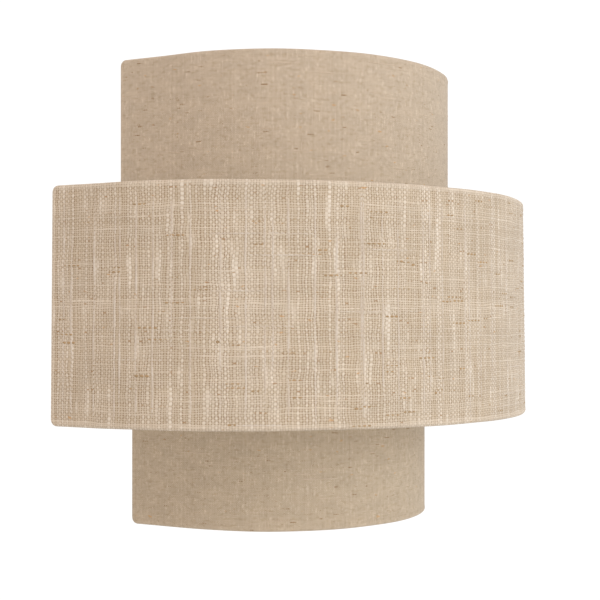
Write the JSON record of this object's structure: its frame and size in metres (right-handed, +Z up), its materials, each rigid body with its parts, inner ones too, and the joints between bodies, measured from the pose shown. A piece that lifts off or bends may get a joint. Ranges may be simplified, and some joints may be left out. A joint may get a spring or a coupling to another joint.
{
  "type": "wall light",
  "caption": "Half-drum wall light with three tiers of linen shade on wire frames, hooked on a back plate with a lampholder on a bent arm.",
  "frame": {"origin": "middle of the back plate, on the wall", "axes": "+Y into the wall, +Z up, +X to the right when facing the light"},
  "size_m": [0.3026, 0.1763, 0.238],
  "materials": {
    "inner_linen": "natural linen, fine uneven weave",
    "band_linen": "coarse slub linen, pale cream",
    "liner_sheet": "translucent white sheet",
    "white_wire": "white dip coating",
    "white_plate": "white powder coating",
    "white_arm": "white powder coating",
    "zinc_steel": "bright zinc plating",
    "rivet_aluminium": "plain",
    "nut_brass": "satin brass",
    "black_plastic": "moulded",
    "terminal_plastic": "moulded, slightly translucent",
    "terminal_brass": "plain brass",
    "holder_plastic": "moulded",
    "holder_ceramic": null,
    "live_cover": "smooth insulation",
    "neutral_cover": "smooth insulation",
    "earth_cover": "smooth insulation, striped",
    "lamp_glass": "clear glass",
    "lamp_cap_metal": "nickel plated",
    "lamp_stem": "pressed glass stem with wire"
  },
  "bodies": {
    "wall_side": {"back_plate": "white_plate", "shade_hook_left": "zinc_steel", "shade_hook_right": "zinc_steel", "hook_rivets": "rivet_aluminium", "wall_bracket": "zinc_steel", "bracket_studs": "zinc_steel", "stud_washers": "zinc_steel", "entry_bushing": "black_plastic", "terminal_block": "terminal_plastic", "terminal_screws": "terminal_brass", "terminal_block_screw": "zinc_steel", "earth_screw": "terminal_brass", "earth_tag": "terminal_brass", "lamp_arm": "white_arm", "arm_collar": "white_arm", "arm_lock_nut": "zinc_steel", "lampholder_cap": "holder_plastic", "lampholder_sleeve": "holder_plastic", "lampholder_core": "holder_ceramic", "screw_shell": "terminal_brass", "centre_contact": "terminal_brass", "live_lead": "live_cover", "neutral_lead": "neutral_cover", "earth_lead": "earth_cover"},
    "shade": {"upper_tier_cover": "inner_linen", "middle_band_cover": "band_linen", "lower_tier_cover": "inner_linen", "upper_tier_liner": "liner_sheet", "middle_band_liner": "liner_sheet", "lower_tier_liner": "liner_sheet", "upper_tier_frame": "white_wire", "middle_band_frame": "white_wire", "lower_tier_frame": "white_wire", "upper_spokes": "white_wire", "lower_spokes": "white_wire", "hanger_wire": "white_wire", "lower_tie_wire": "white_wire"},
    "lamp": {"lamp_globe": "lamp_glass", "lamp_cap": "lamp_cap_metal", "lamp_insulator": "black_plastic", "lamp_filament": "lamp_stem"},
    "left_nut": {"thumb_nut_left": "nut_brass"},
    "right_nut": {"thumb_nut_right": "nut_brass"}
  },
  "joints": [
    {"name": "shade_lift", "type": "slide", "parent": "wall_side", "child": "shade", "axis": [0, 0, 1], "range_m": [0, 0.014]},
    {"name": "lamp_turn", "type": "hinge", "parent": "wall_side", "child": "lamp", "pos_m": [0, -0.066, 0.02], "axis": [0, 0, 1], "range_deg": [0, 1080]},
    {"name": "left_nut_turn", "type": "hinge", "parent": "wall_side", "child": "left_nut", "pos_m": [-0.038, -0.023, 0], "axis": [0, -1, 0], "range_deg": [0, 1800]},
    {"name": "right_nut_turn", "type": "hinge", "parent": "wall_side", "child": "right_nut", "pos_m": [0.038, -0.023, 0], "axis": [0, -1, 0], "range_deg": [0, 1800]}
  ]
}
